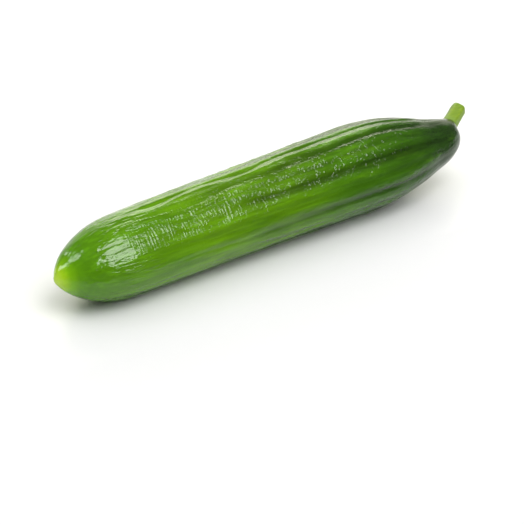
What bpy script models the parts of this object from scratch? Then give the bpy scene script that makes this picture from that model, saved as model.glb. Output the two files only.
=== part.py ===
"""A short glasshouse cucumber as picked, with the stub of its stem.

Metres, +Z up. The fruit lies on its belly along X, with the stem at +X.
The origin is under the middle of the whole, on the surface it lies on.
"""

import math

import bmesh
import bpy
import numpy as np
from mathutils import Vector

# The fruit's size and its two ends
BODY_DIAMETER = 0.038
BODY_LENGTH = 0.214
BLOSSOM_END_LENGTH = 0.036
STEM_END_LENGTH = 0.055
BLOSSOM_END_CURVE = (2.44, 1.55)
STEM_END_CURVE = (2.04, 2.05)
TAPER = 0.19
SCAR_HEIGHT = 0.0004
SCAR_RADIUS = 0.0022

# The narrower neck below the stem, and the shallow waist in it
NECK_FROM = 0.72
NECK_SHRINK = 0.27
WAIST_AT = 0.905
WAIST_SPAN = 0.03
WAIST_SHRINK = 0.035

# The line that the fruit grew along
SIDE_BOW = 0.0021
END_BEND = math.radians(33)
END_BEND_FROM = 0.89
END_BEND_LEAN = math.radians(66)

# Lengthwise ribs: a furrow between each two, and a finer one down each rib's crest.
# Angles round the body start at +Y, with the top at a quarter turn.
RIB_COUNT = 9
FURROW_AT = math.radians(107.5)
FURROW_WANDER = 0.04
FURROW_DEPTH = 0.00056
CREST_FURROW_DEPTH = 0.00042
FURROW_SHARPNESS = 2.0
BLOSSOM_RIB_SHARE = 0.2
RIBS_FULL_AT = 0.45
BELLY_RIB_SHARE = 0.05
BELLY_SPAN = math.radians(32)

# The flat that the fruit rests on, and the socket that the stem stands in
BELLY_FLAT_DEPTH = 0.0007
SOCKET_RADIUS = 0.0041
SOCKET_DEPTH = 0.0045
GAP = 0.0003

# The stub of the stem, which stands a little off the end of the fruit's line
STEM_DIAMETER = 0.0073
STEM_SHOWING = 0.0105
STEM_OFFSET = (-0.00059, 0.00071, 0.00059)
STEM_CORNER = 16
STEM_RIDGES = 5
STEM_RIDGE_HEIGHT = 0.05
STEM_FOOT_FLARE = 0.04

# How finely the two solids are faceted
FRUIT_SIDES, FRUIT_RINGS = 108, 38
STEM_SIDES, STEM_RINGS = 30, 14
LINE_POINTS = 600

# How far the cutters reach past what they cut
CUTTER_REACH = 0.01

FRUIT_GREEN = (0.075, 0.21, 0.012, 1)
FRUIT_ROUGHNESS = 0.3
STEM_GREEN = (0.237, 0.379, 0.033, 1)
STEM_ROUGHNESS = 0.5


def smooth_step(value, low, high):
    part = np.clip((value - low) / (high - low), 0, 1)
    return part * part * (3 - 2 * part)


def growth_line():
    """Stations from 0 at the blossom scar to 1 at the stem, with the points and directions there."""
    along = np.linspace(0, 1, LINE_POINTS)
    bend = END_BEND * smooth_step(along, END_BEND_FROM, 1)
    sideways = -4 * SIDE_BOW / BODY_LENGTH * (2 * along - 1)
    climb = BODY_DIAMETER / 2 * TAPER / BODY_LENGTH
    heading = np.stack(
        [
            np.cos(bend),
            sideways + np.sin(bend) * math.sin(END_BEND_LEAN),
            climb + np.sin(bend) * math.cos(END_BEND_LEAN),
        ],
        axis=1,
    )
    heading /= np.linalg.norm(heading, axis=1, keepdims=True)
    step = BODY_LENGTH / (LINE_POINTS - 1)
    middles = (heading[1:] + heading[:-1]) / 2 * step
    points = np.concatenate([np.zeros((1, 3)), np.cumsum(middles, axis=0)])
    return along, points, heading


def end_rounding(distance, length, curve):
    part = np.clip(distance / length, 0, 1)
    return (1 - (1 - part) ** curve[0]) ** (1 / curve[1])


def fruit_radius(along):
    radius = BODY_DIAMETER / 2 * (1 + TAPER * (along - 0.5))
    radius *= end_rounding(along * BODY_LENGTH, BLOSSOM_END_LENGTH, BLOSSOM_END_CURVE)
    radius *= end_rounding((1 - along) * BODY_LENGTH, STEM_END_LENGTH, STEM_END_CURVE)
    radius *= 1 - NECK_SHRINK * smooth_step(along, NECK_FROM, 1)
    return radius * (1 - WAIST_SHRINK * np.exp(-(((along - WAIST_AT) / WAIST_SPAN) ** 2)))


def furrow(along, angle):
    """Depth of the furrows as a share of the radius. The blossom end and the belly are smoother."""
    past = angle - FURROW_AT
    turn = RIB_COUNT * (past + FURROW_WANDER * np.sin(2 * past))
    between = (0.5 + 0.5 * np.cos(turn)) ** FURROW_SHARPNESS
    on_crest = (0.5 + 0.5 * np.cos(2 * turn)) ** FURROW_SHARPNESS
    depth = FURROW_DEPTH * between + CREST_FURROW_DEPTH * on_crest
    from_belly = (angle + 1.5 * math.pi) % (2 * math.pi) - math.pi
    share = BLOSSOM_RIB_SHARE + (1 - BLOSSOM_RIB_SHARE) * smooth_step(along, 0, RIBS_FULL_AT)
    share *= 1 - (1 - BELLY_RIB_SHARE) * np.exp(-((from_belly / BELLY_SPAN) ** 2))
    return depth * share / (BODY_DIAMETER / 2)


def stem_radius(along):
    corner = (1 - np.abs(2 * along - 1) ** STEM_CORNER) ** (1 / STEM_CORNER)
    flare = 1 + STEM_FOOT_FLARE * (1 - along)
    return STEM_DIAMETER / 2 * corner * flare


def stem_ridges(along, angle):
    ridge = 0.5 - 0.5 * np.cos(STEM_RIDGES * angle)
    return STEM_RIDGE_HEIGHT * ridge


def skin_points(directions, line, radius_at, dent_at):
    """Each point of a unit sphere, poles on X, moved onto a skin round the line."""
    stations, points, headings = line
    along = np.clip((1 + directions[:, 0]) / 2, 0, 1)
    angle = np.arctan2(directions[:, 2], directions[:, 1])
    centre = np.stack([np.interp(along, stations, points[:, i]) for i in range(3)], axis=1)
    ahead = np.stack([np.interp(along, stations, headings[:, i]) for i in range(3)], axis=1)
    side = np.cross((0, 0, 1), ahead)
    side /= np.linalg.norm(side, axis=1, keepdims=True)
    top = np.cross(ahead, side)
    radius = radius_at(along) * (1 - dent_at(along, angle))
    around = side * np.cos(angle)[:, None] + top * np.sin(angle)[:, None]
    return centre + radius[:, None] * around


def sphere_mesh(name, sides, rings):
    """A closed sphere of radius 1 with its poles on X."""
    mesh = bpy.data.meshes.new(name)
    work = bmesh.new()
    bmesh.ops.create_uvsphere(work, u_segments=sides, v_segments=rings, radius=1)
    for vert in work.verts:
        x, y, z = vert.co
        vert.co = (z, x, y)
    work.to_mesh(mesh)
    work.free()
    return mesh


def mesh_points(mesh):
    flat = np.empty(len(mesh.vertices) * 3, np.float32)
    mesh.vertices.foreach_get("co", flat)
    return flat.reshape(-1, 3).astype(np.float64)


def move_points(mesh, points):
    mesh.vertices.foreach_set("co", points.astype(np.float32).ravel())
    mesh.update()


def add_object(name, mesh, collection):
    made = bpy.data.objects.new(name, mesh)
    collection.objects.link(made)
    return made


def skin_material(name, colour, roughness):
    material = bpy.data.materials.new(name)
    material.use_nodes = True
    shader = material.node_tree.nodes["Principled BSDF"]
    shader.inputs["Base Color"].default_value = colour
    shader.inputs["Roughness"].default_value = roughness
    shader.inputs["Metallic"].default_value = 0
    return material


def raise_scar(points, line):
    """The blossom scar stands a little proud of the tip."""
    tip, heading = line[1][0], line[2][0]
    away = np.linalg.norm(points - tip, axis=1)
    lift = SCAR_HEIGHT * np.exp(-((away / SCAR_RADIUS) ** 2))
    return points - heading * lift[:, None]


def make_fruit(collection, line):
    mesh = sphere_mesh("fruit", FRUIT_SIDES, FRUIT_RINGS)
    points = skin_points(mesh_points(mesh), line, fruit_radius, furrow)
    move_points(mesh, raise_scar(points, line))
    return add_object("fruit", mesh, collection)


def stem_root(line):
    """Where the stem stands in the fruit's end, and the way it points."""
    return line[1][-1] + np.array(STEM_OFFSET), line[2][-1]


def make_stem(collection, line):
    """A straight stub that carries on the fruit's own line out of the socket."""
    end, heading = stem_root(line)
    foot = end - heading * (SOCKET_DEPTH - GAP)
    length = SOCKET_DEPTH - GAP + STEM_SHOWING
    stations = np.array([0.0, 1.0])
    ends = np.stack([foot, foot + heading * length])
    mesh = sphere_mesh("stem", STEM_SIDES, STEM_RINGS)
    straight = (stations, ends, np.stack([heading, heading]))
    move_points(mesh, skin_points(mesh_points(mesh), straight, stem_radius, stem_ridges))
    return add_object("stem", mesh, collection)


def centre_on_origin(fruit, stem, line):
    """Puts the origin under the middle of the whole, with the belly just below the surface."""
    fruit_points, stem_points = mesh_points(fruit.data), mesh_points(stem.data)
    every = np.concatenate([fruit_points, stem_points])
    shift = -(every.min(axis=0) + every.max(axis=0)) / 2
    shift[2] = -fruit_points[:, 2].min() - BELLY_FLAT_DEPTH
    move_points(fruit.data, fruit_points + shift)
    move_points(stem.data, stem_points + shift)
    return line[0], line[1] + shift, line[2]


def hide_cutter(cutter, name, collection):
    cutter.name = name
    for held in list(cutter.users_collection):
        held.objects.unlink(cutter)
    collection.objects.link(cutter)
    cutter.hide_render = True
    cutter.display_type = "WIRE"


def cut(solid, cutter, name):
    modifier = solid.modifiers.new(name, "BOOLEAN")
    modifier.operation = "DIFFERENCE"
    modifier.object = cutter


def cut_belly_flat(fruit, cutters):
    """A small flat along the belly's middle rib, at height 0."""
    bpy.ops.mesh.primitive_cube_add(size=1, location=(0, 0, -CUTTER_REACH / 2))
    block = bpy.context.object
    spare = 2 * CUTTER_REACH
    block.dimensions = (BODY_LENGTH + spare, BODY_DIAMETER + spare, CUTTER_REACH)
    hide_cutter(block, "belly_cutter", cutters)
    cut(fruit, block, "belly_flat")


def cut_socket(fruit, cutters, line):
    """A round socket along the fruit's own line, which the stem stands in."""
    end, heading = (Vector(values) for values in stem_root(line))
    bpy.ops.mesh.primitive_cylinder_add(
        vertices=STEM_SIDES,
        radius=SOCKET_RADIUS,
        depth=SOCKET_DEPTH + CUTTER_REACH,
        location=end + heading * (CUTTER_REACH - SOCKET_DEPTH) / 2,
        rotation=heading.to_track_quat("Z", "Y").to_euler(),
    )
    bore = bpy.context.object
    hide_cutter(bore, "socket_cutter", cutters)
    cut(fruit, bore, "stem_socket")


def clear_scene():
    for old in list(bpy.data.objects):
        bpy.data.objects.remove(old, do_unlink=True)


def new_collection(name):
    made = bpy.data.collections.new(name)
    bpy.context.scene.collection.children.link(made)
    return made


def main():
    clear_scene()
    parts = new_collection("cucumber")
    cutters = new_collection("cutters")
    line = growth_line()
    fruit = make_fruit(parts, line)
    stem = make_stem(parts, line)
    line = centre_on_origin(fruit, stem, line)
    cut_belly_flat(fruit, cutters)
    cut_socket(fruit, cutters, line)
    fruit.data.materials.append(skin_material("cucumber_skin", FRUIT_GREEN, FRUIT_ROUGHNESS))
    stem.data.materials.append(skin_material("stem_green", STEM_GREEN, STEM_ROUGHNESS))
    fruit.data.shade_smooth()
    stem.data.shade_smooth()


main()
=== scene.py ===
# A short glasshouse cucumber as picked: its ribbed glossy skin and the stub of its stem,
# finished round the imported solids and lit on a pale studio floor.
import math

import bmesh
import bpy
import numpy as np
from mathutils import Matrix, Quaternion, Vector, noise


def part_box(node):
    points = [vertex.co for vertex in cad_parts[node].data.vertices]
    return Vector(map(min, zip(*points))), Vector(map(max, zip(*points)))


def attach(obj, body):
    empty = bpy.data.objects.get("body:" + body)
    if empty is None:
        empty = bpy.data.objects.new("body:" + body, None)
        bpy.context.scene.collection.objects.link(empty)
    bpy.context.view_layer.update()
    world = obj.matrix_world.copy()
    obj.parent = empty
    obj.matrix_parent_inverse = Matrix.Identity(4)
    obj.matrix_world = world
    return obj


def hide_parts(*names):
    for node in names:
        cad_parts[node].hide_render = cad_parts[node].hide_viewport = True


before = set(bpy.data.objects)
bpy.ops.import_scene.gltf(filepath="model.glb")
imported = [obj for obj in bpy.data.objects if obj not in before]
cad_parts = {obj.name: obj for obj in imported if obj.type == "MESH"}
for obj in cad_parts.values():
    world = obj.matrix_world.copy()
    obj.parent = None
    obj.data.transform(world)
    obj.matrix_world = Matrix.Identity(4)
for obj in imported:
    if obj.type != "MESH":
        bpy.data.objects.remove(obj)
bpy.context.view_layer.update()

mm = 0.001
noiseGain = 1.6             # Blender's own noise seldom passes 0.6 either way
print("frame loaded:", ", ".join(sorted(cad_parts)))

# The fruit's form in metres, as in the part's own source
fruitForm = {
    "diameter": 0.038,
    "length": 0.214,
    "taper": 0.19,
    "blossomEnd": 0.036, "blossomCurve": (2.44, 1.55),
    "stemEnd": 0.055, "stemCurve": (2.04, 2.05),
    "neckFrom": 0.72, "neckShrink": 0.27,
    "waistAt": 0.905, "waistSpan": 0.03, "waistShrink": 0.035,
    "sideBow": 0.0021,
    "endBend": math.radians(33), "endBendFrom": 0.89, "endBendLean": math.radians(66),
    "scarHeight": 0.0004, "scarRadius": 0.0022,
    "linePoints": 600,
    "bellyFlat": 0.0007,
}

ribForm = {
    "count": 9,
    "furrowAt": math.radians(107.5),
    "wander": 0.04,
    "depth": 0.56 * mm,
    "crestDepth": 0.42 * mm,    # the finer furrow down each rib's crest
    "sharpness": 2.0,
    "blossomShare": 0.2,
    "fullAt": 0.45,
    "bellyShare": 0.05,
    "bellySpan": math.radians(32),
}


def smoothStep(value, low, high):
    part = np.clip((value - low) / (high - low), 0, 1)
    return part * part * (3 - 2 * part)


def blend(first, second, share):
    return first + (second - first) * share


def growthLine(form):
    # stations 0 at the blossom scar to 1 at the stem, with points and headings there
    along = np.linspace(0, 1, form["linePoints"])
    bend = form["endBend"] * smoothStep(along, form["endBendFrom"], 1)
    sideways = -4 * form["sideBow"] / form["length"] * (2 * along - 1)
    climb = form["diameter"] / 2 * form["taper"] / form["length"]
    heading = np.stack([
        np.cos(bend),
        sideways + np.sin(bend) * math.sin(form["endBendLean"]),
        climb + np.sin(bend) * math.cos(form["endBendLean"]),
    ], axis=1)
    heading /= np.linalg.norm(heading, axis=1, keepdims=True)
    step = form["length"] / (form["linePoints"] - 1)
    steps = (heading[1:] + heading[:-1]) / 2 * step
    points = np.concatenate([np.zeros((1, 3)), np.cumsum(steps, axis=0)])
    return along, points, heading


def endRounding(distance, length, curve):
    part = np.clip(distance / length, 0, 1)
    return (1 - (1 - part) ** curve[0]) ** (1 / curve[1])


def fruitRadius(along, form):
    length = form["length"]
    radius = form["diameter"] / 2 * (1 + form["taper"] * (along - 0.5))
    radius = radius * endRounding(along * length, form["blossomEnd"], form["blossomCurve"])
    radius = radius * endRounding((1 - along) * length, form["stemEnd"], form["stemCurve"])
    radius = radius * (1 - form["neckShrink"] * smoothStep(along, form["neckFrom"], 1))
    waist = np.exp(-(((along - form["waistAt"]) / form["waistSpan"]) ** 2))
    return radius * (1 - form["waistShrink"] * waist)


def ribShare(along, angle, ribs):
    # how strong the ribs are: full past the middle, weak at the blossom end and on the belly
    fromBelly = (angle + 1.5 * math.pi) % (2 * math.pi) - math.pi
    share = ribs["blossomShare"] + (1 - ribs["blossomShare"]) * smoothStep(along, 0, ribs["fullAt"])
    return share * (1 - (1 - ribs["bellyShare"]) * np.exp(-((fromBelly / ribs["bellySpan"]) ** 2)))


def furrowShapes(angle, ribs):
    past = angle - ribs["furrowAt"]
    turn = ribs["count"] * (past + ribs["wander"] * np.sin(2 * past))
    between = (0.5 + 0.5 * np.cos(turn)) ** ribs["sharpness"]
    onCrest = (0.5 + 0.5 * np.cos(2 * turn)) ** ribs["sharpness"]
    return between, onCrest


def placeOnLine(along, angle, line):
    # centre, and the outward direction at this angle round the line
    stations, points, headings = line
    centre = np.stack([np.interp(along, stations, points[:, i]) for i in range(3)], axis=1)
    ahead = np.stack([np.interp(along, stations, headings[:, i]) for i in range(3)], axis=1)
    side = np.cross((0, 0, 1), ahead)
    side /= np.linalg.norm(side, axis=1, keepdims=True)
    top = np.cross(ahead, side)
    return centre, side * np.cos(angle)[:, None] + top * np.sin(angle)[:, None]


def noiseAt(points, cell, seed, stretch=(1, 1, 1)):
    # smooth noise from about -1 to 1, with cells of this size in metres, longer where stretched
    scaled = points / (np.array(stretch) * cell) + seed
    return np.array([noise.noise(Vector(p)) for p in scaled]) * noiseGain


def sphereGrid(sides, rings):
    # a unit sphere with its poles on X, each point's share of the way between them, and its angle
    work = bmesh.new()
    bmesh.ops.create_uvsphere(work, u_segments=sides, v_segments=rings, radius=1)
    mesh = bpy.data.meshes.new("grid")
    for vert in work.verts:
        x, y, z = vert.co
        vert.co = (z, x, y)
    work.to_mesh(mesh)
    work.free()
    flat = np.empty(len(mesh.vertices) * 3, np.float32)
    mesh.vertices.foreach_get("co", flat)
    unit = flat.reshape(-1, 3).astype(np.float64)
    ring = np.arccos(np.clip(-unit[:, 0], -1, 1)) / math.pi
    ring = np.round(ring * rings) / rings
    return mesh, ring, np.arctan2(unit[:, 2], unit[:, 1])


def addFloatLayer(mesh, name, values):
    layer = mesh.attributes.new(name, "FLOAT", "POINT")
    layer.data.foreach_set("value", values.astype(np.float32))


def addPiece(name, mesh, points, material):
    mesh.vertices.foreach_set("co", points.astype(np.float32).ravel())
    mesh.name = name
    mesh.materials.append(material)
    mesh.shade_smooth()
    mesh.update()
    piece = bpy.data.objects.new(name, mesh)
    bpy.context.scene.collection.objects.link(piece)
    return piece


class NodeSheet:
    # short calls for building the nodes of one material, or of the world
    def __init__(self, name="", world=None):
        self.material = world or bpy.data.materials.new(name)
        self.material.use_nodes = True
        self.tree = self.material.node_tree
        self.shader = self.tree.nodes["Background" if world else "Principled BSDF"]

    def add(self, kind, values=(), **settings):
        made = self.tree.nodes.new(kind)
        for key, value in settings.items():
            setattr(made, key, value)
        for key, value in dict(values).items():
            self.put(made.inputs[key], value)
        return made

    def put(self, socket, value):
        if isinstance(value, bpy.types.NodeSocket):
            self.tree.links.new(value, socket)
        else:
            socket.default_value = value

    def objectPoint(self, stretch=(1, 1, 1)):
        # millimetres in the frame, divided by the stretch
        place = self.add("ShaderNodeTexCoord").outputs["Object"]
        scale = [1 / (mm * share) for share in stretch]
        return self.add("ShaderNodeMapping", {"Vector": place, "Scale": scale}).outputs["Vector"]

    def noise(self, cell, stretch=(1, 1, 1), detail=3, roughness=0.5, distortion=0):
        values = {
            "Vector": self.objectPoint(stretch), "Scale": 1 / cell, "Detail": detail,
            "Roughness": roughness, "Distortion": distortion,
        }
        return self.add("ShaderNodeTexNoise", values).outputs["Fac"]

    def layer(self, name):
        return self.add("ShaderNodeAttribute", attribute_name=name).outputs["Fac"]

    def math(self, operation, first, second=0.0, third=0.0):
        node = self.add("ShaderNodeMath", operation=operation)
        for socket, value in zip(node.inputs, (first, second, third)):
            self.put(socket, value)
        return node.outputs[0]

    def product(self, first, *others):
        for other in others:
            first = self.math("MULTIPLY", first, other)
        return first

    def spread(self, value, low, high, toLow=0.0, toHigh=1.0):
        # eases from one output to the other as the value goes from low to high
        limits = {"From Min": low, "From Max": high, "To Min": toLow, "To Max": toHigh}
        values = {"Value": value, **limits}
        return self.add("ShaderNodeMapRange", values, interpolation_type="SMOOTHSTEP").outputs["Result"]

    def ramp(self, value, stops):
        node = self.add("ShaderNodeValToRGB", {"Fac": value})
        elements = node.color_ramp.elements
        while len(elements) < len(stops):
            elements.new(0.5)
        for element, (place, colour) in zip(elements, stops):
            element.position = place
            element.color = (*colour, 1)
        return node.outputs["Color"]

    def mix(self, share, first, second, mode="MIX"):
        node = self.add("ShaderNodeMix", data_type="RGBA", blend_type=mode)
        self.put(node.inputs[0], share)
        for socket, value in ((node.inputs[6], first), (node.inputs[7], second)):
            self.put(socket, (*value, 1) if isinstance(value, tuple) else value)
        return node.outputs[2]

    def bump(self, height, distance):
        values = {"Height": height, "Distance": distance, "Strength": 1.0}
        return self.add("ShaderNodeBump", values).outputs["Normal"]


skinRelief = {
    "sides": 288, "rings": 344,
    "tipSpan": 0.06,            # rings crowd together towards each pole over this share
    "seed": 7,
    # stations over which each kind of skin comes and goes
    "maturing": (0.25, 0.6),
    "pebbled": (0.12, 0.42), "pebblesEase": (0.84, 0.95), "pebblesLost": 0.6,
    "young": (0.03, 0.12), "youngEnds": (0.3, 0.55),
    "creased": (0.05, 0.14), "creasesEase": (0.5, 0.8), "creasesLost": 0.5, "youngCreases": 0.25,
    # low relief: height, cell, how far it is drawn out lengthwise, and the least share of it anywhere
    "grainSeeds": {"wrinkle": 0, "ripple": 91, "pebble": 11, "fold": 23, "lump": 37},
    "wrinkleHeight": 0.08 * mm, "wrinkleCell": 2.6 * mm, "wrinkleStretch": 7,
    "wrinkleLeast": 0.25, "wrinkleYoung": 0.7,
    "rippleHeight": 0.07 * mm, "rippleCell": 1.7 * mm, "rippleStretch": 8, "rippleLeast": 0.2,
    "pebbleHeight": 0.05 * mm, "pebbleCell": 2.0 * mm, "pebbleStretch": 1.5,
    "foldHeight": 0.21 * mm, "foldCell": 2.9 * mm, "foldStretch": 5.0, "foldSkew": 1.3,
    "foldAngle": math.radians(82), "foldTurn": math.radians(30),
    "lumpHeight": 0.12 * mm, "lumpCell": 17 * mm, "lumpStretch": 2, "lumpLeast": 0.4, "lumpLevel": 0.4,
    # warts in two rows a rib, and where fine dots are thickest
    "wartCount": 460, "wartHeight": 0.17 * mm, "wartRadius": 0.8 * mm, "wartStretch": 1.3,
    "wartStations": (0.12, 0.84), "wartRow": 0.25, "wartScatter": 0.07,
    "wartSizes": (0.6, 1.15), "wartHeights": (0.35, 1.0), "wartMost": 1.2,
    "dotAngle": math.radians(128), "dotTurn": math.radians(18), "dotsEnd": (0.76, 0.9),
    # how the furrows wander, break off and fade
    "wanderYoung": 0.13, "wanderMature": 0.03,
    "wanderCell": 8 * mm, "wanderStretch": 3, "wanderSeed": 53,
    "breakYoung": 0.75, "breakMature": 0.25, "breakStretch": 1.6, "breakSeed": 71,
    # the last: how much the crest furrows add to the furrows' painted darkening, partly their own darker
    # green and partly painted shade
    "furrowYoung": 0.5, "crestYoung": 1.4, "crestToneAndShade": 0.5,
    "rearFacing": (0.1, 0.35), "smoothEnd": (0.82, 0.95), "smoothed": 0.75,
    "lowFrontAngle": math.radians(188), "lowFrontTurn": math.radians(34),
    "lowFrontMature": 0.45, "lowFrontSmoothed": 0.8,
    # the furrow along the very top runs deeper, and the next one down the front is slight
    "topFurrowAngle": math.radians(87.5), "topFurrowGain": 0.6,
    "nextFurrowAngle": math.radians(107.5), "nextFurrowLoss": 0.5, "furrowTurn": math.radians(9.5),
    # broad forms: the shoulder and the nape on top, the crown by the blossom end, the cheek by the stem
    "shoulderAngle": math.radians(72), "shoulderTurn": math.radians(60),
    "shoulderHeight": 0.65 * mm, "shoulderAt": 0.675, "shoulderSpan": 0.11,
    "napeDepth": 0.3 * mm, "napeAt": 0.888, "napeSpan": 0.02,
    "crownHeight": 1.0 * mm, "crownAt": 0.02, "crownSpan": 0.02,
    "cheekAngle": math.radians(160), "cheekTurn": math.radians(30),
    "cheekDepth": 1.6 * mm, "cheekAt": 0.986, "cheekSpan": 0.016,
    "leastRadius": 0.3,         # the cheek leaves at least this share of the radius
    "tipReach": 0.8 * mm, "tipReachSpan": 7 * mm,       # the blossom end is drawn out a little
}


def crowdPoles(ring, span):
    # even spacing in the middle, ever finer towards both poles
    half = np.minimum(ring, 1 - ring)
    eased = np.where(half < span, half * half / (2 * span), half - span / 2) / (1 - span)
    return np.where(ring < 0.5, eased, 1 - eased)


def angleFrom(angle, middle):
    # the turn from this middle, from minus half a turn to plus half a turn
    return (angle - middle + math.pi) % (2 * math.pi) - math.pi


def bell(value, middle, span):
    return np.exp(-(((value - middle) / span) ** 2))


def wartLayer(along, angle, relief, form, ribs):
    # low warts scattered along the ribs' crests, as a height from 0 to about 1
    draw = np.random.default_rng(relief["seed"])
    count = relief["wartCount"]
    stations = draw.uniform(*relief["wartStations"], count)
    crest = 2 * math.pi / ribs["count"]
    row = relief["wartRow"]
    rows = draw.integers(0, ribs["count"], count) + 0.5 + draw.choice([-row, row], count)
    angles = ribs["furrowAt"] + crest * (rows + draw.normal(0, relief["wartScatter"], count))
    sizes = draw.uniform(*relief["wartSizes"], count)
    heights = draw.uniform(*relief["wartHeights"], count)
    total = np.zeros(len(along))
    radius = fruitRadius(along, form)
    for station, turn, size, height in zip(stations, angles, sizes, heights):
        reach = relief["wartRadius"] * size
        dx = (along - station) * form["length"] / (reach * relief["wartStretch"])
        near = np.abs(dx) < 3       # a wart adds next to nothing past three reaches
        dy = angleFrom(angle[near], turn) * radius[near] / reach
        total[near] += height * np.exp(-(dx[near] ** 2 + dy ** 2))
    return np.minimum(total, relief["wartMost"])


def furrowDepth(plain, along, angle, ribs, relief):
    # how deep the furrows are at each point, and how much darker the skin is painted in them: partly the
    # furrows' own darker green, partly painted shade
    maturing = smoothStep(along, *relief["maturing"])
    cell, seed = relief["wanderCell"], relief["seed"]
    swing = blend(relief["wanderYoung"], relief["wanderMature"], maturing)
    sway = noiseAt(plain, cell, seed + relief["wanderSeed"], (relief["wanderStretch"], 1, 1))
    between, onCrest = furrowShapes(angle + swing * sway, ribs)
    depth = ribs["depth"] * between * blend(relief["furrowYoung"], 1, maturing)
    depth += ribs["crestDepth"] * onCrest * blend(relief["crestYoung"], 1, maturing)
    depth *= (
        1 + relief["topFurrowGain"] * bell(angle, relief["topFurrowAngle"], relief["furrowTurn"])
        - relief["nextFurrowLoss"] * bell(angle, relief["nextFurrowAngle"], relief["furrowTurn"])
    )
    breaks = noiseAt(plain, cell, seed + relief["breakSeed"], (relief["breakStretch"], 1, 1))
    breaking = blend(relief["breakYoung"], relief["breakMature"], maturing)
    # smoother on the young half's far side, towards the stem and low on the front
    smoothRear = (1 - maturing) * smoothStep(np.cos(angle), *relief["rearFacing"])
    smoothEnd = smoothStep(along, *relief["smoothEnd"])
    lowFront = bell(angleFrom(angle, relief["lowFrontAngle"]), 0, relief["lowFrontTurn"])
    lowFront = lowFront * blend(1, relief["lowFrontMature"], maturing)
    share = ribShare(along, angle, ribs) * (1 + breaking * breaks)
    share = share * (1 - relief["smoothed"] * smoothRear) * (1 - relief["smoothed"] * smoothEnd)
    share = share * (1 - relief["lowFrontSmoothed"] * lowFront)
    # the furrows are painted darker: partly their own darker green, partly painted shade where they
    # would lie in shadow
    toneAndShade = np.clip(share * (between + relief["crestToneAndShade"] * onCrest) * maturing, 0, 1)
    return share * depth, toneAndShade


def broadForms(along, angle, relief):
    topSide = bell(angle, relief["shoulderAngle"], relief["shoulderTurn"])
    shoulder = relief["shoulderHeight"] * bell(along, relief["shoulderAt"], relief["shoulderSpan"])
    nape = relief["napeDepth"] * bell(along, relief["napeAt"], relief["napeSpan"])
    crown = relief["crownHeight"] * bell(along, relief["crownAt"], relief["crownSpan"])
    return topSide * (shoulder - nape + crown)


def raisedRelief(plain, along, angle, radius, form, ribs, relief):
    pebbled = smoothStep(along, *relief["pebbled"])
    pebbled = pebbled * (1 - relief["pebblesLost"] * smoothStep(along, *relief["pebblesEase"]))
    young = smoothStep(along, *relief["young"]) * (1 - smoothStep(along, *relief["youngEnds"]))
    creased = smoothStep(along, *relief["creased"])
    creased = creased * (1 - relief["creasesLost"] * smoothStep(along, *relief["creasesEase"]))
    creased = creased * bell(angle, relief["foldAngle"], relief["foldTurn"])
    creased = creased + relief["youngCreases"] * young
    skewed = plain.copy()       # folds run a little across the fruit
    skewed[:, 0] += relief["foldSkew"] * radius * np.sin(angle - ribs["furrowAt"])
    grain = {}
    for name, offset in relief["grainSeeds"].items():
        points = skewed if name == "fold" else plain
        stretch = (relief[name + "Stretch"], 1, 1)
        grain[name] = noiseAt(points, relief[name + "Cell"], relief["seed"] + offset, stretch)
    wrinkled = np.maximum(pebbled, relief["wrinkleYoung"] * young)
    lumpy = blend(relief["lumpLeast"], 1, pebbled)
    raised = (
        relief["wrinkleHeight"] * grain["wrinkle"] * blend(relief["wrinkleLeast"], 1, wrinkled)
        + relief["rippleHeight"] * grain["ripple"] * blend(relief["rippleLeast"], 1, young)
        + relief["pebbleHeight"] * grain["pebble"] * pebbled
        + relief["foldHeight"] * grain["fold"] * creased
        + relief["lumpHeight"] * (grain["lump"] - relief["lumpLevel"]) * lumpy
        + relief["wartHeight"] * wartLayer(along, angle, relief, form, ribs) * pebbled
        + broadForms(along, angle, relief)
    )
    return raised * np.clip(radius / (form["diameter"] / 2), 0, 1)


def makeSkinPoints(ring, angle, form, ribs, relief):
    # the skin's points, and the layers that its material reads
    along = crowdPoles(ring, relief["tipSpan"])
    line = growthLine(form)
    centre, outward = placeOnLine(along, angle, line)
    radius = fruitRadius(along, form)
    plain = centre + outward * radius[:, None]
    depth, furrowToneAndShade = furrowDepth(plain, along, angle, ribs, relief)
    raised = raisedRelief(plain, along, angle, radius, form, ribs, relief)
    cheek = relief["cheekDepth"] * bell(along, relief["cheekAt"], relief["cheekSpan"])
    cheek = cheek * bell(angleFrom(angle, relief["cheekAngle"]), 0, relief["cheekTurn"])
    height = radius * (1 - depth / (form["diameter"] / 2)) + raised - cheek
    surface = centre + outward * np.maximum(height, relief["leastRadius"] * radius)[:, None]
    fromTip = np.linalg.norm(surface - line[1][0], axis=1)
    lift = form["scarHeight"] * bell(fromTip, 0, form["scarRadius"])
    lift += relief["tipReach"] * bell(fromTip, 0, relief["tipReachSpan"])
    surface = surface - line[2][0] * lift[:, None]
    dotted = bell(angleFrom(angle, relief["dotAngle"]), 0, relief["dotTurn"])
    dotted = dotted * (1 - smoothStep(along, *relief["dotsEnd"]))
    # the furrow layer carries the furrows' painted darkening: partly their darker green, partly painted
    # shade
    return surface, {"station": along, "furrow": furrowToneAndShade, "dotted": dotted}


def settleInFrame(points, form):
    # the sides and the belly meet the solid's own box, and the drawn-out blossom end reaches past it
    low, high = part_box("fruit")
    shift = np.array([
        low[0] - skinRelief["tipReach"] - points[:, 0].min(),
        (low[1] + high[1]) / 2 - (points[:, 1].min() + points[:, 1].max()) / 2,
        -form["bellyFlat"] - points[:, 2].min(),
    ])
    return points + shift, shift


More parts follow.
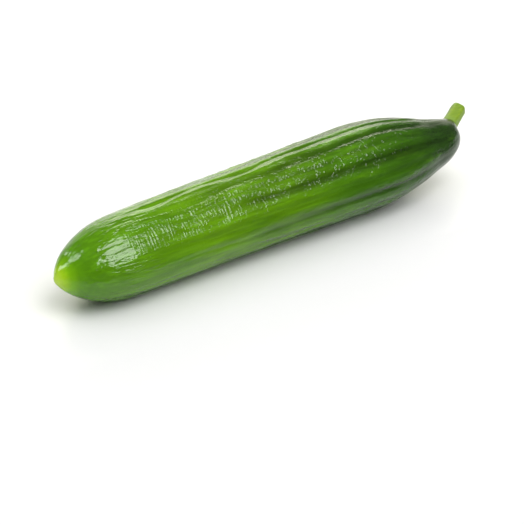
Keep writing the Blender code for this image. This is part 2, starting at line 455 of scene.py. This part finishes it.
skinLook = {
    # stations from the blossom end to the stem, with the colour there
    "alongColours": [
        (0.000, (0.560, 0.800, 0.085)),
        (0.007, (0.400, 0.680, 0.014)),
        (0.015, (0.200, 0.470, 0.003)),
        (0.026, (0.104, 0.295, 0.002)),
        (0.042, (0.078, 0.230, 0.002)),
        (0.120, (0.080, 0.215, 0.002)),
        (0.300, (0.092, 0.222, 0.002)),
        (0.500, (0.082, 0.206, 0.002)),
        (0.640, (0.047, 0.145, 0.002)),
        (0.820, (0.028, 0.090, 0.003)),
        (0.900, (0.015, 0.046, 0.004)),
        (0.976, (0.011, 0.030, 0.004)),
        (0.985, (0.028, 0.085, 0.006)),
        (0.991, (0.100, 0.225, 0.012)),
    ],
    "drift": 0.05,              # how far those colours wander along the fruit
    "paleBlotch": (0.108, 0.275, 0.004),
    "deepBlotch": (0.040, 0.130, 0.001),
    # how much darker the furrows are painted: partly their own darker green, partly painted shade
    "furrowShade": 0.55,
    "roughness": (0.06, 0.11),
    "ior": 1.41,
    # the textures' cells in millimetres
    "grains": {
        "drift": {"cell": 9, "stretch": (2.5, 1, 1)},
        "blotches": {"cell": 7, "stretch": (4.5, 1, 1), "detail": 4, "roughness": 0.6},
        "streaks": {"cell": 1.6, "stretch": (14, 1, 1), "detail": 2},
        "dullness": {"cell": 3.0, "stretch": (2, 1, 1), "detail": 4},
        "patches": {"cell": 4, "stretch": (1.2, 1, 1), "detail": 1},
        "ripples": {"cell": 0.75, "stretch": (1, 7, 7), "detail": 1, "distortion": 0.8},
        "dots": {"cell": 1.6, "stretch": (1.15, 1, 1), "detail": 1},
        "creases": {"cell": 1.2, "stretch": (6, 1, 1), "detail": 1, "distortion": 0.4},
    },
    "waveStretch": (1, 3, 3),
    "waves": {"Scale": 0.19, "Distortion": 9.0, "Detail": 1.0, "Detail Scale": 1.1},
    "padStretch": (1.9, 1, 1), "padScale": 0.9, "padBendStretch": (2, 1, 1), "padBendScale": 0.7,
    # fades along the fruit: from one station to another, and from one strength to another
    "fades": {
        "driftStarts": (0.03, 0.15), "driftStops": (0.98, 0.92),
        "blotchesStart": (0.04, 0.15), "blotchesEase": (0.95, 0.6, 0.25, 1),
        "streakTone": (0.02, 0.06, 1.0, 1.22),
        "wavesStart": (0.07, 0.14), "wavesEase": (0.5, 0.34, 0.06, 1),
        "ripplesStart": (0.05, 0.17, 0.05, 1), "ripplesEase": (0.5, 0.2, 0.25, 1),
        "grown": (0.12, 0.4, 0.12, 1),
        "creasesStart": (0.008, 0.04), "creasesEase": (0.24, 0.13, 0.12, 1),
        "creaseHeight": (0.06, 0.11, 0.20, 0.58),
    },
    # the levels between which a texture or a layer shows, and its strengths there
    "levels": {
        "paleBlotch": (0.5, 0.72, 0, 0.6), "deepBlotch": (0.5, 0.3, 0, 0.45),
        "streaks": (0.42, 0.7, 0.94), "dullness": (0.3, 0.7),
        "patches": (0.36, 0.56), "waveFront": (0.02, 0.3, 0.1, 1),
        "dots": (0.54, 0.72), "dotFront": (0, 1, 0.015, 0.22), "cracks": (0.0, 0.22),
    },
    "bumpDepth": 1.0 * mm,
    "rippleHeight": 0.09, "waveHeight": 0.075, "crackHeight": 0.030,        # shares of the bump's depth
}


def paintSkin(sheet, look, station, grains, fades):
    # colours along the fruit that wander a little, then blotches, streaks, and furrows painted darker,
    # partly their own darker green and partly painted shade
    levels = look["levels"]
    drift = sheet.math("MULTIPLY_ADD", grains["drift"], look["drift"], -look["drift"] / 2)
    drifting = sheet.product(fades["driftStarts"], fades["driftStops"])
    drifted = sheet.math("ADD", station, drift)
    place = sheet.add("ShaderNodeMix", {0: drifting, 2: station, 3: drifted}).outputs[0]
    colour = sheet.ramp(place, look["alongColours"])
    blotched = sheet.product(fades["blotchesStart"], fades["blotchesEase"])
    for name in ("paleBlotch", "deepBlotch"):
        share = sheet.product(sheet.spread(grains["blotches"], *levels[name]), blotched)
        colour = sheet.mix(share, colour, look[name])
    streaked = sheet.spread(grains["streaks"], *levels["streaks"], fades["streakTone"])
    # furrows painted darker: partly their own darker green, partly painted shade
    shade = sheet.product(sheet.layer("furrow"), look["furrowShade"])
    toneAndShade = sheet.product(streaked, sheet.math("SUBTRACT", 1.0, shade))
    tonesAndShade = sheet.add("ShaderNodeCombineColor", {0: toneAndShade, 1: toneAndShade, 2: toneAndShade}).outputs[0]
    sheet.put(sheet.shader.inputs["Base Color"], sheet.mix(1.0, colour, tonesAndShade, "MULTIPLY"))
    roughness = sheet.spread(grains["dullness"], *levels["dullness"], *look["roughness"])
    sheet.put(sheet.shader.inputs["Roughness"], roughness)
    sheet.shader.inputs["IOR"].default_value = look["ior"]


def crackedPads(sheet, look):
    # 0 in the thin cracks between small uneven pads of skin, and 1 on the pads
    place = sheet.objectPoint(look["padStretch"])
    bendPlace = {"Vector": sheet.objectPoint(look["padBendStretch"]), "Scale": look["padBendScale"]}
    bend = sheet.add("ShaderNodeTexNoise", bendPlace).outputs["Color"]
    bent = sheet.add("ShaderNodeVectorMath", {0: place, 1: bend}, operation="ADD").outputs[0]
    cells = {"Vector": bent, "Scale": look["padScale"]}
    pads = sheet.add("ShaderNodeTexVoronoi", cells, feature="DISTANCE_TO_EDGE").outputs["Distance"]
    return sheet.spread(pads, *look["levels"]["cracks"])


def bumpSkin(sheet, look, grains, fades):
    # cross waves in patches, ripples and creases on the young half, dots and cracks on the grown one
    levels = look["levels"]
    dotted = sheet.layer("dotted")
    waveValues = {"Vector": sheet.objectPoint(look["waveStretch"]), **look["waves"]}
    waves = sheet.add("ShaderNodeTexWave", waveValues).outputs["Fac"]
    patches = sheet.spread(grains["patches"], *levels["patches"])
    waveFront = sheet.spread(dotted, *levels["waveFront"])
    dots = sheet.spread(grains["dots"], *levels["dots"])
    dotFront = sheet.spread(dotted, *levels["dotFront"])
    parts = [
        (waves, (fades["wavesStart"], fades["wavesEase"], patches, waveFront, look["waveHeight"])),
        (dots, (fades["grown"], dotFront)),
        (grains["creases"], (fades["creasesStart"], fades["creasesEase"], fades["creaseHeight"])),
        (crackedPads(sheet, look), (fades["grown"], look["crackHeight"])),
    ]
    rippled = sheet.product(fades["ripplesEase"], fades["ripplesStart"], look["rippleHeight"])
    height = sheet.product(grains["ripples"], rippled)
    for texture, strengths in parts:
        height = sheet.math("MULTIPLY_ADD", texture, sheet.product(*strengths), height)
    sheet.put(sheet.shader.inputs["Normal"], sheet.bump(height, look["bumpDepth"]))


def makeSkinMaterial(look):
    sheet = NodeSheet("cucumberSkin")
    station = sheet.layer("station")
    grains = {name: sheet.noise(**values) for name, values in look["grains"].items()}
    fades = {name: sheet.spread(station, *values) for name, values in look["fades"].items()}
    paintSkin(sheet, look, station, grains, fades)
    bumpSkin(sheet, look, grains, fades)
    return sheet.material


def makeFruit():
    mesh, ring, angle = sphereGrid(skinRelief["sides"], skinRelief["rings"])
    points, layers = makeSkinPoints(ring, angle, fruitForm, ribForm, skinRelief)
    points, shift = settleInFrame(points, fruitForm)
    points[:, 2] = np.maximum(points[:, 2], 0)      # the flat that it rests on
    for name, values in layers.items():
        addFloatLayer(mesh, name, values)
    piece = addPiece("fruitSkin", mesh, points, makeSkinMaterial(skinLook))
    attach(piece, "root")
    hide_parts("fruit")
    print("fruit skin:", len(mesh.polygons), "faces")
    return shift


stemForm = {
    "sides": 120, "rings": 120,
    "poleSpan": 0.3,
    "diameter": 0.0073,
    "showing": 0.0109,
    "sunk": 0.0030,             # how far the foot reaches into the fruit
    "corner": 40,
    "aside": (-0.00087, 0.00045, 0.00044),      # it stands a little off the line's end
    "ridges": 5, "ridgeHeight": 0.09,
    "flare": 0.10, "flareSpan": 0.0018, "flareMost": 0.5,
    "fibreHeight": 0.05 * mm, "fibreCell": 0.5 * mm, "fibreStretch": 9,
    "wall": (0.6, 0.95),        # shares of the full radius over which the fibres set in
    "cutAlong": (0.5, 0.52), "cutEdge": (0.82, 0.93),
    "seed": 3,
}

stemLook = {
    "foot": (0.165, 0.270, 0.022), "footFades": (0.36, 0.2),
    "green": (0.150, 0.255, 0.007),
    "pale": (0.235, 0.345, 0.014), "paleLevels": (0.35, 0.7),
    "cut": (0.34, 0.43, 0.08),
    "betweenRidges": (0.1, 0.9, 0.45, 0.0),
    "roughness": (0.35, 0.6), "roughnessLevels": (0.3, 0.7),
    "ior": 1.4,
    "fibres": {"cell": 0.55, "stretch": (6, 1, 1), "detail": 3},
    "bump": {"cell": 0.35, "stretch": (8, 1, 1)}, "bumpDepth": 0.05 * mm,
}


def makeStemMaterial(look):
    sheet = NodeSheet("stemGreen")
    fibres = sheet.noise(**look["fibres"])
    green = sheet.mix(sheet.spread(fibres, *look["paleLevels"]), look["green"], look["pale"])
    green = sheet.mix(sheet.spread(sheet.layer("ridge"), *look["betweenRidges"]), green, look["green"])
    green = sheet.mix(sheet.spread(sheet.layer("alongStem"), *look["footFades"]), green, look["foot"])
    green = sheet.mix(sheet.layer("cutFace"), green, look["cut"])
    sheet.put(sheet.shader.inputs["Base Color"], green)
    roughness = sheet.spread(fibres, *look["roughnessLevels"], *look["roughness"])
    sheet.put(sheet.shader.inputs["Roughness"], roughness)
    sheet.shader.inputs["IOR"].default_value = look["ior"]
    sheet.put(sheet.shader.inputs["Normal"], sheet.bump(sheet.noise(**look["bump"]), look["bumpDepth"]))
    return sheet.material


def stemLine(shift, form):
    # a straight line from inside the fruit's end to the cut face
    stations, points, headings = growthLine(fruitForm)
    end, heading = points[-1] + shift + np.array(form["aside"]), headings[-1]
    return (
        np.array([0.0, 1.0]),
        np.stack([end - heading * form["sunk"], end + heading * form["showing"]]),
        np.stack([heading, heading]),
    )


def makeStem(shift, form):
    mesh, ring, angle = sphereGrid(form["sides"], form["rings"])
    along = crowdPoles(ring, form["poleSpan"])
    centre, outward = placeOnLine(along, angle, stemLine(shift, form))
    corner = (1 - np.abs(2 * along - 1) ** form["corner"]) ** (1 / form["corner"])
    fromFruit = (along * (form["sunk"] + form["showing"]) - form["sunk"]) / form["flareSpan"]
    flare = 1 + form["flare"] * np.exp(-np.maximum(fromFruit, -form["flareMost"]) - form["flareMost"])
    ridge = 0.5 + 0.5 * np.cos(form["ridges"] * angle)
    radius = form["diameter"] / 2 * corner * flare * (1 - form["ridgeHeight"] * (1 - ridge))
    plain = centre + outward * radius[:, None]
    fibre = noiseAt(plain, form["fibreCell"], form["seed"], (form["fibreStretch"], 1, 1))
    points = plain + outward * (form["fibreHeight"] * fibre * smoothStep(corner, *form["wall"]))[:, None]
    cutFace = smoothStep(along, *form["cutAlong"]) * (1 - smoothStep(corner, *form["cutEdge"]))
    addFloatLayer(mesh, "alongStem", along)
    addFloatLayer(mesh, "ridge", ridge)
    addFloatLayer(mesh, "cutFace", cutFace)
    piece = addPiece("stemStub", mesh, points, makeStemMaterial(stemLook))
    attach(piece, "root")
    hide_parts("stem")
    print("stem stub:", len(mesh.polygons), "faces")


photoView = {
    "imageSide": 524,                   # pixels
    "azimuth": math.radians(-36.3), "height": math.radians(28),
    "distance": 0.9,
    "focalPixels": 2107,
    "bodyMiddle": (-0.0047, 0, 0.0184),
    "bodyMiddleAt": (268.2, 201.1),     # where the body's middle falls in the picture
    "sensor": 36,                       # millimetres
    "clip": (0.01, 20),
}


def placeCamera(view):
    az, up = view["azimuth"], view["height"]
    back = Vector((math.sin(az) * math.cos(up), -math.cos(az) * math.cos(up), math.sin(up)))
    right = Vector((math.cos(az), math.sin(az), 0))
    above = back.cross(right)
    middle = Vector(view["bodyMiddle"])
    eye = middle + back * view["distance"]
    perPixel = view["distance"] / view["focalPixels"]
    half = view["imageSide"] / 2
    across, down = view["bodyMiddleAt"]
    target = middle + right * (half - across) * perPixel - above * (half - down) * perPixel
    lens = bpy.data.cameras.new("camera")
    lens.sensor_width = view["sensor"]
    lens.lens = view["focalPixels"] / view["imageSide"] * view["sensor"]
    lens.clip_start, lens.clip_end = view["clip"]
    camera = bpy.data.objects.new("camera", lens)
    bpy.context.scene.collection.objects.link(camera)
    camera.location = eye
    camera.rotation_euler = (target - eye).to_track_quat("-Z", "Y").to_euler()
    bpy.context.scene.camera = camera


floorLook = {
    "side": 6.0,
    "drop": 0.02 * mm,
    "colour": (0.74, 0.74, 0.74, 1),
    "roughness": 0.45,
}


def makeFloor(look):
    bpy.ops.mesh.primitive_plane_add(size=look["side"], location=(0, 0, -look["drop"]))
    floor = bpy.context.object
    floor.name = "paleFloor"
    sheet = NodeSheet("palePaper")
    sheet.shader.inputs["Base Color"].default_value = look["colour"]
    sheet.shader.inputs["Roughness"].default_value = look["roughness"]
    floor.data.materials.append(sheet.material)


# Where the boxes aim near the blossom end, and the two kinds: lamps that light it, and gleams that
# only show in its gloss
overTip = (-0.085, -0.014, 0.028)
farTip = (-0.1, 0, 0.03)
lampsOnly = {"mirrored": False, "lights": True}
gleamsOnly = {"mirrored": True, "lights": False}

# Each soft box: the way to it from its aim, its distance, its width and height in metres, and its
# brightness, with a tint and a roll where it has them
softBoxes = {
    "keyLight": {"way": (0.22, -0.56, 0.80), "distance": 2.2, "size": (2.0, 2.2),
                 "brightness": 3.1, "aim": (0, 0, 0.02), **lampsOnly},
    "topLight": {"way": (0, 0.1, 1), "distance": 1.5, "size": (2.4, 2.4),
                 "brightness": 1.55, "aim": (0, 0, 0), **lampsOnly},
    "keyGleam": {"way": (0.06, -0.68, 0.73), "distance": 2.0, "size": (1.36, 1.02),
                 "brightness": 10.5, "aim": overTip, **gleamsOnly},
    "highKeyGleam": {"way": (0.06, -0.38, 0.925), "distance": 2.0, "size": (1.36, 0.42),
                     "brightness": 9.5, "aim": overTip, **gleamsOnly},
    "lowKeyGleam": {"way": (0.02, -0.925, 0.38), "distance": 2.0, "size": (1.22, 0.37),
                    "brightness": 13, "aim": overTip, **gleamsOnly},
    "backGleam": {"way": (0.46, 0.73, 0.50), "distance": 2.0, "size": (1.10, 1.03),
                  "brightness": 3.4, "aim": (0, 0, 0.03), "tint": (1, 1, 0.80), **gleamsOnly},
    "leftGleam": {"way": (-0.58, 0.26, 0.77), "distance": 1.5, "size": (0.42, 0.62),
                  "brightness": 9, "aim": farTip, **gleamsOnly},
    "tipGleam": {"way": (-0.735, 0.47, 0.45), "distance": 1.5, "size": (0.90, 0.16),
                 "brightness": 9, "aim": farTip, "roll": math.radians(33), **gleamsOnly},
    "farLeftGleam": {"way": (-0.30, 0.85, 0.43), "distance": 1.5, "size": (0.18, 0.34),
                     "brightness": 7, "aim": farTip, **gleamsOnly},
}

# The pale sweep behind the fruit, seen from it this way and fading into a dim room all round
surround = {
    "pale": (1.28, 1.28, 1.06),
    "dim": (0.14, 0.14, 0.14),
    "way": (0.5, 0.866, 0),
    "fade": (0.70, 0.92),
}

# Dark cards that only the skin mirrors: one upright in front, and one flat before it
shadeCards = {
    "colour": (0.06, 0.06, 0.06, 1),
    "roughness": 0.9,
    "corners": {
        "uprightCard": [(-0.3, -0.30, 0), (1.3, -0.34, 0), (1.3, -0.34, 0.12), (-0.3, -0.30, 0.12)],
        "flatCard": [
            (-0.3, -0.34, 0.0003), (1.3, -0.34, 0.0003), (1.3, -0.041, 0.0003), (-0.3, -0.041, 0.0003),
        ],
    },
}


def addSoftBox(name, box):
    lamp = bpy.data.lights.new(name, "AREA")
    lamp.shape = "RECTANGLE"
    lamp.size, lamp.size_y = box["size"]
    lamp.energy = math.pi * lamp.size * lamp.size_y * box["brightness"]
    lamp.color = box.get("tint", (1, 1, 1))
    made = bpy.data.objects.new(name, lamp)
    bpy.context.scene.collection.objects.link(made)
    way = Vector(box["way"]).normalized()
    made.location = Vector(box["aim"]) + way * box["distance"]
    turned = way.to_track_quat("Z", "Y") @ Quaternion((0, 0, 1), box.get("roll", 0))
    made.rotation_euler = turned.to_euler()
    made.visible_camera = False
    made.visible_glossy = box["mirrored"]
    made.visible_diffuse = box["lights"]


def lightStudio():
    for name, box in softBoxes.items():
        addSoftBox(name, box)
    world = bpy.data.worlds.new("studio")
    world.use_nodes = True
    bpy.context.scene.world = world
    sheet = NodeSheet(world=world)
    way = sheet.add("ShaderNodeTexCoord").outputs["Generated"]
    both = {0: way, 1: surround["way"]}
    towards = sheet.add("ShaderNodeVectorMath", both, operation="DOT_PRODUCT").outputs["Value"]
    share = sheet.spread(towards, *surround["fade"])
    colour = sheet.mix(share, surround["dim"], surround["pale"])
    sheet.put(sheet.shader.inputs["Color"], colour)
    bpy.context.scene.view_settings.view_transform = "Standard"


def makeShadeCards():
    sheet = NodeSheet("darkVelvet")
    sheet.shader.inputs["Base Color"].default_value = shadeCards["colour"]
    sheet.shader.inputs["Roughness"].default_value = shadeCards["roughness"]
    for name, corners in shadeCards["corners"].items():
        mesh = bpy.data.meshes.new(name)
        mesh.from_pydata(corners, [], [(0, 1, 2, 3)])
        mesh.materials.append(sheet.material)
        made = bpy.data.objects.new(name, mesh)
        bpy.context.scene.collection.objects.link(made)
        made.visible_camera = made.visible_diffuse = made.visible_shadow = False


placeCamera(photoView)
print("camera placed")
makeFloor(floorLook)
makeShadeCards()
lightStudio()
print("floor and lights placed")
fruitShift = makeFruit()
makeStem(fruitShift, stemForm)
